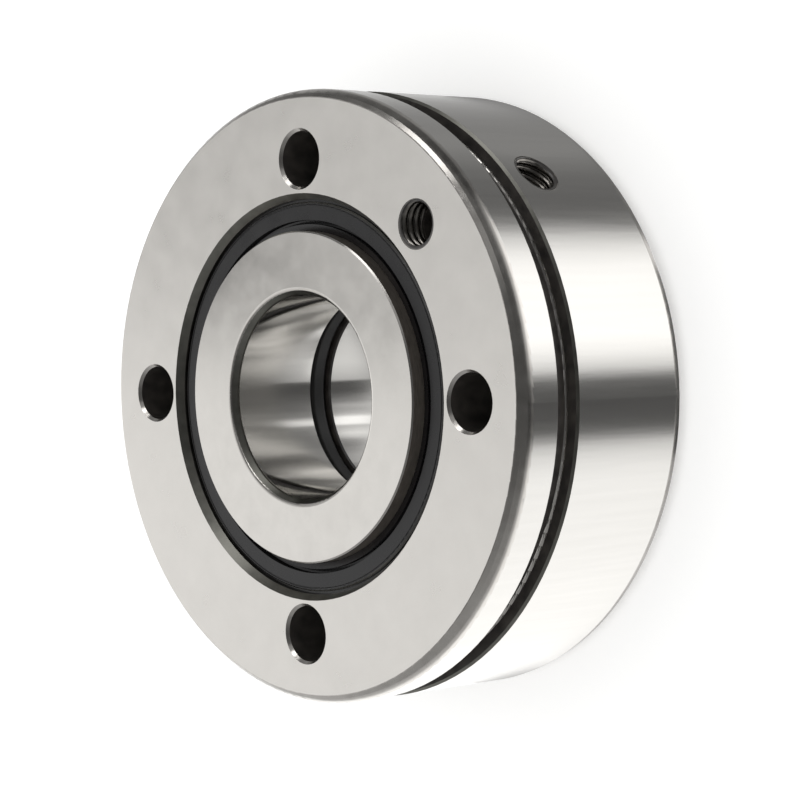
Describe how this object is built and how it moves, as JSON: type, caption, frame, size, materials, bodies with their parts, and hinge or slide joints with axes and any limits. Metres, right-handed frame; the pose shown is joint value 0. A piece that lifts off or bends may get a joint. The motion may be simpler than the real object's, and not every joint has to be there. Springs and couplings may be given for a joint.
{
  "type": "angular contact thrust ball bearing",
  "caption": "Sealed ball bearing for high axial load, with a thick outer ring that is screwed to a housing, a divided inner ring and threaded lubrication ports.",
  "frame": {"origin": "centre of the lower face of the inner ring, on which the bearing lies", "axes": "+Z along the bearing's axis, towards the face with the tapped lubrication hole; +X through one fixing screw hole; both lubrication holes lie 45 degrees from +X towards +Y"},
  "size_m": [0.075, 0.075, 0.0292],
  "materials": {
    "ground_bearing_steel": "ground",
    "polished_ball_steel": "polished",
    "stiffener_steel": "rolled",
    "seal_rubber": "moulded",
    "black_polyamide": "moulded",
    "cage_polyamide": "moulded"
  },
  "bodies": {
    "outer": {"outer_ring": "ground_bearing_steel", "seal_upper": "seal_rubber", "seal_lower": "seal_rubber", "seal_stiffener_upper": "stiffener_steel", "seal_stiffener_lower": "stiffener_steel"},
    "inner": {"inner_ring_upper": "ground_bearing_steel", "inner_ring_lower": "ground_bearing_steel", "retaining_ring": "black_polyamide"},
    "cage_upper": {"cage_upper": "cage_polyamide"},
    "cage_lower": {"cage_lower": "cage_polyamide"},
    "ball_upper_01": {"ball_upper_01": "polished_ball_steel"},
    "ball_upper_02": {"ball_upper_02": "polished_ball_steel"},
    "ball_upper_03": {"ball_upper_03": "polished_ball_steel"},
    "ball_upper_04": {"ball_upper_04": "polished_ball_steel"},
    "ball_upper_05": {"ball_upper_05": "polished_ball_steel"},
    "ball_upper_06": {"ball_upper_06": "polished_ball_steel"},
    "ball_upper_07": {"ball_upper_07": "polished_ball_steel"},
    "ball_upper_08": {"ball_upper_08": "polished_ball_steel"},
    "ball_upper_09": {"ball_upper_09": "polished_ball_steel"},
    "ball_upper_10": {"ball_upper_10": "polished_ball_steel"},
    "ball_upper_11": {"ball_upper_11": "polished_ball_steel"},
    "ball_upper_12": {"ball_upper_12": "polished_ball_steel"},
    "ball_upper_13": {"ball_upper_13": "polished_ball_steel"},
    "ball_upper_14": {"ball_upper_14": "polished_ball_steel"},
    "ball_upper_15": {"ball_upper_15": "polished_ball_steel"},
    "ball_upper_16": {"ball_upper_16": "polished_ball_steel"},
    "ball_lower_01": {"ball_lower_01": "polished_ball_steel"},
    "ball_lower_02": {"ball_lower_02": "polished_ball_steel"},
    "ball_lower_03": {"ball_lower_03": "polished_ball_steel"},
    "ball_lower_04": {"ball_lower_04": "polished_ball_steel"},
    "ball_lower_05": {"ball_lower_05": "polished_ball_steel"},
    "ball_lower_06": {"ball_lower_06": "polished_ball_steel"},
    "ball_lower_07": {"ball_lower_07": "polished_ball_steel"},
    "ball_lower_08": {"ball_lower_08": "polished_ball_steel"},
    "ball_lower_09": {"ball_lower_09": "polished_ball_steel"},
    "ball_lower_10": {"ball_lower_10": "polished_ball_steel"},
    "ball_lower_11": {"ball_lower_11": "polished_ball_steel"},
    "ball_lower_12": {"ball_lower_12": "polished_ball_steel"},
    "ball_lower_13": {"ball_lower_13": "polished_ball_steel"},
    "ball_lower_14": {"ball_lower_14": "polished_ball_steel"},
    "ball_lower_15": {"ball_lower_15": "polished_ball_steel"},
    "ball_lower_16": {"ball_lower_16": "polished_ball_steel"}
  },
  "joints": [
    {"name": "inner_spin", "type": "hinge", "parent": "outer", "child": "inner", "pos_m": [0, 0, 0.0146], "axis": [0, 0, 1], "continuous": true},
    {"name": "cage_upper_orbit", "type": "hinge", "parent": "outer", "child": "cage_upper", "pos_m": [0, 0, 0.01999], "axis": [0, 0, 1], "continuous": true},
    {"name": "cage_lower_orbit", "type": "hinge", "parent": "outer", "child": "cage_lower", "pos_m": [0, 0, 0.00921], "axis": [0, 0, 1], "continuous": true},
    {"name": "ball_upper_01_roll", "type": "hinge", "parent": "cage_upper", "child": "ball_upper_01", "pos_m": [0.02, 0, 0.01999], "axis": [-0.866, 0, -0.5], "continuous": true},
    {"name": "ball_upper_02_roll", "type": "hinge", "parent": "cage_upper", "child": "ball_upper_02", "pos_m": [0.01848, 0.00766, 0.01999], "axis": [-0.8001, -0.3314, -0.5], "continuous": true},
    {"name": "ball_upper_03_roll", "type": "hinge", "parent": "cage_upper", "child": "ball_upper_03", "pos_m": [0.01415, 0.01415, 0.01999], "axis": [-0.6124, -0.6124, -0.5], "continuous": true},
    {"name": "ball_upper_04_roll", "type": "hinge", "parent": "cage_upper", "child": "ball_upper_04", "pos_m": [0.00766, 0.01848, 0.01999], "axis": [-0.3314, -0.8001, -0.5], "continuous": true},
    {"name": "ball_upper_05_roll", "type": "hinge", "parent": "cage_upper", "child": "ball_upper_05", "pos_m": [0, 0.02, 0.01999], "axis": [0, -0.866, -0.5], "continuous": true},
    {"name": "ball_upper_06_roll", "type": "hinge", "parent": "cage_upper", "child": "ball_upper_06", "pos_m": [-0.00766, 0.01848, 0.01999], "axis": [0.3314, -0.8001, -0.5], "continuous": true},
    {"name": "ball_upper_07_roll", "type": "hinge", "parent": "cage_upper", "child": "ball_upper_07", "pos_m": [-0.01415, 0.01415, 0.01999], "axis": [0.6124, -0.6124, -0.5], "continuous": true},
    {"name": "ball_upper_08_roll", "type": "hinge", "parent": "cage_upper", "child": "ball_upper_08", "pos_m": [-0.01848, 0.00766, 0.01999], "axis": [0.8001, -0.3314, -0.5], "continuous": true},
    {"name": "ball_upper_09_roll", "type": "hinge", "parent": "cage_upper", "child": "ball_upper_09", "pos_m": [-0.02, 0, 0.01999], "axis": [0.866, 0, -0.5], "continuous": true},
    {"name": "ball_upper_10_roll", "type": "hinge", "parent": "cage_upper", "child": "ball_upper_10", "pos_m": [-0.01848, -0.00766, 0.01999], "axis": [0.8001, 0.3314, -0.5], "continuous": true},
    {"name": "ball_upper_11_roll", "type": "hinge", "parent": "cage_upper", "child": "ball_upper_11", "pos_m": [-0.01415, -0.01415, 0.01999], "axis": [0.6124, 0.6124, -0.5], "continuous": true},
    {"name": "ball_upper_12_roll", "type": "hinge", "parent": "cage_upper", "child": "ball_upper_12", "pos_m": [-0.00766, -0.01848, 0.01999], "axis": [0.3314, 0.8001, -0.5], "continuous": true},
    {"name": "ball_upper_13_roll", "type": "hinge", "parent": "cage_upper", "child": "ball_upper_13", "pos_m": [0, -0.02, 0.01999], "axis": [0, 0.866, -0.5], "continuous": true},
    {"name": "ball_upper_14_roll", "type": "hinge", "parent": "cage_upper", "child": "ball_upper_14", "pos_m": [0.00766, -0.01848, 0.01999], "axis": [-0.3314, 0.8001, -0.5], "continuous": true},
    {"name": "ball_upper_15_roll", "type": "hinge", "parent": "cage_upper", "child": "ball_upper_15", "pos_m": [0.01415, -0.01415, 0.01999], "axis": [-0.6124, 0.6124, -0.5], "continuous": true},
    {"name": "ball_upper_16_roll", "type": "hinge", "parent": "cage_upper", "child": "ball_upper_16", "pos_m": [0.01848, -0.00766, 0.01999], "axis": [-0.8001, 0.3314, -0.5], "continuous": true},
    {"name": "ball_lower_01_roll", "type": "hinge", "parent": "cage_lower", "child": "ball_lower_01", "pos_m": [0.01962, 0.0039, 0.00921], "axis": [0.8494, 0.169, -0.5], "continuous": true},
    {"name": "ball_lower_02_roll", "type": "hinge", "parent": "cage_lower", "child": "ball_lower_02", "pos_m": [0.01663, 0.01111, 0.00921], "axis": [0.7201, 0.4811, -0.5], "continuous": true},
    {"name": "ball_lower_03_roll", "type": "hinge", "parent": "cage_lower", "child": "ball_lower_03", "pos_m": [0.01111, 0.01663, 0.00921], "axis": [0.4811, 0.7201, -0.5], "continuous": true},
    {"name": "ball_lower_04_roll", "type": "hinge", "parent": "cage_lower", "child": "ball_lower_04", "pos_m": [0.0039, 0.01962, 0.00921], "axis": [0.169, 0.8494, -0.5], "continuous": true},
    {"name": "ball_lower_05_roll", "type": "hinge", "parent": "cage_lower", "child": "ball_lower_05", "pos_m": [-0.0039, 0.01962, 0.00921], "axis": [-0.169, 0.8494, -0.5], "continuous": true},
    {"name": "ball_lower_06_roll", "type": "hinge", "parent": "cage_lower", "child": "ball_lower_06", "pos_m": [-0.01111, 0.01663, 0.00921], "axis": [-0.4811, 0.7201, -0.5], "continuous": true},
    {"name": "ball_lower_07_roll", "type": "hinge", "parent": "cage_lower", "child": "ball_lower_07", "pos_m": [-0.01663, 0.01111, 0.00921], "axis": [-0.7201, 0.4811, -0.5], "continuous": true},
    {"name": "ball_lower_08_roll", "type": "hinge", "parent": "cage_lower", "child": "ball_lower_08", "pos_m": [-0.01962, 0.0039, 0.00921], "axis": [-0.8494, 0.169, -0.5], "continuous": true},
    {"name": "ball_lower_09_roll", "type": "hinge", "parent": "cage_lower", "child": "ball_lower_09", "pos_m": [-0.01962, -0.0039, 0.00921], "axis": [-0.8494, -0.169, -0.5], "continuous": true},
    {"name": "ball_lower_10_roll", "type": "hinge", "parent": "cage_lower", "child": "ball_lower_10", "pos_m": [-0.01663, -0.01111, 0.00921], "axis": [-0.7201, -0.4811, -0.5], "continuous": true},
    {"name": "ball_lower_11_roll", "type": "hinge", "parent": "cage_lower", "child": "ball_lower_11", "pos_m": [-0.01111, -0.01663, 0.00921], "axis": [-0.4811, -0.7201, -0.5], "continuous": true},
    {"name": "ball_lower_12_roll", "type": "hinge", "parent": "cage_lower", "child": "ball_lower_12", "pos_m": [-0.0039, -0.01962, 0.00921], "axis": [-0.169, -0.8494, -0.5], "continuous": true},
    {"name": "ball_lower_13_roll", "type": "hinge", "parent": "cage_lower", "child": "ball_lower_13", "pos_m": [0.0039, -0.01962, 0.00921], "axis": [0.169, -0.8494, -0.5], "continuous": true},
    {"name": "ball_lower_14_roll", "type": "hinge", "parent": "cage_lower", "child": "ball_lower_14", "pos_m": [0.01111, -0.01663, 0.00921], "axis": [0.4811, -0.7201, -0.5], "continuous": true},
    {"name": "ball_lower_15_roll", "type": "hinge", "parent": "cage_lower", "child": "ball_lower_15", "pos_m": [0.01663, -0.01111, 0.00921], "axis": [0.7201, -0.4811, -0.5], "continuous": true},
    {"name": "ball_lower_16_roll", "type": "hinge", "parent": "cage_lower", "child": "ball_lower_16", "pos_m": [0.01962, -0.0039, 0.00921], "axis": [0.8494, -0.169, -0.5], "continuous": true}
  ],
  "couplings": [
    {"joint": "cage_upper_orbit", "follows": "inner_spin", "ratio": 0.46032},
    {"joint": "cage_lower_orbit", "follows": "inner_spin", "ratio": 0.46032},
    {"joint": "ball_upper_01_roll", "follows": "inner_spin", "ratio": 3.1306},
    {"joint": "ball_upper_02_roll", "follows": "inner_spin", "ratio": 3.1306},
    {"joint": "ball_upper_03_roll", "follows": "inner_spin", "ratio": 3.1306},
    {"joint": "ball_upper_04_roll", "follows": "inner_spin", "ratio": 3.1306},
    {"joint": "ball_upper_05_roll", "follows": "inner_spin", "ratio": 3.1306},
    {"joint": "ball_upper_06_roll", "follows": "inner_spin", "ratio": 3.1306},
    {"joint": "ball_upper_07_roll", "follows": "inner_spin", "ratio": 3.1306},
    {"joint": "ball_upper_08_roll", "follows": "inner_spin", "ratio": 3.1306},
    {"joint": "ball_upper_09_roll", "follows": "inner_spin", "ratio": 3.1306},
    {"joint": "ball_upper_10_roll", "follows": "inner_spin", "ratio": 3.1306},
    {"joint": "ball_upper_11_roll", "follows": "inner_spin", "ratio": 3.1306},
    {"joint": "ball_upper_12_roll", "follows": "inner_spin", "ratio": 3.1306},
    {"joint": "ball_upper_13_roll", "follows": "inner_spin", "ratio": 3.1306},
    {"joint": "ball_upper_14_roll", "follows": "inner_spin", "ratio": 3.1306},
    {"joint": "ball_upper_15_roll", "follows": "inner_spin", "ratio": 3.1306},
    {"joint": "ball_upper_16_roll", "follows": "inner_spin", "ratio": 3.1306},
    {"joint": "ball_lower_01_roll", "follows": "inner_spin", "ratio": 3.1306},
    {"joint": "ball_lower_02_roll", "follows": "inner_spin", "ratio": 3.1306},
    {"joint": "ball_lower_03_roll", "follows": "inner_spin", "ratio": 3.1306},
    {"joint": "ball_lower_04_roll", "follows": "inner_spin", "ratio": 3.1306},
    {"joint": "ball_lower_05_roll", "follows": "inner_spin", "ratio": 3.1306},
    {"joint": "ball_lower_06_roll", "follows": "inner_spin", "ratio": 3.1306},
    {"joint": "ball_lower_07_roll", "follows": "inner_spin", "ratio": 3.1306},
    {"joint": "ball_lower_08_roll", "follows": "inner_spin", "ratio": 3.1306},
    {"joint": "ball_lower_09_roll", "follows": "inner_spin", "ratio": 3.1306},
    {"joint": "ball_lower_10_roll", "follows": "inner_spin", "ratio": 3.1306},
    {"joint": "ball_lower_11_roll", "follows": "inner_spin", "ratio": 3.1306},
    {"joint": "ball_lower_12_roll", "follows": "inner_spin", "ratio": 3.1306},
    {"joint": "ball_lower_13_roll", "follows": "inner_spin", "ratio": 3.1306},
    {"joint": "ball_lower_14_roll", "follows": "inner_spin", "ratio": 3.1306},
    {"joint": "ball_lower_15_roll", "follows": "inner_spin", "ratio": 3.1306},
    {"joint": "ball_lower_16_roll", "follows": "inner_spin", "ratio": 3.1306}
  ]
}
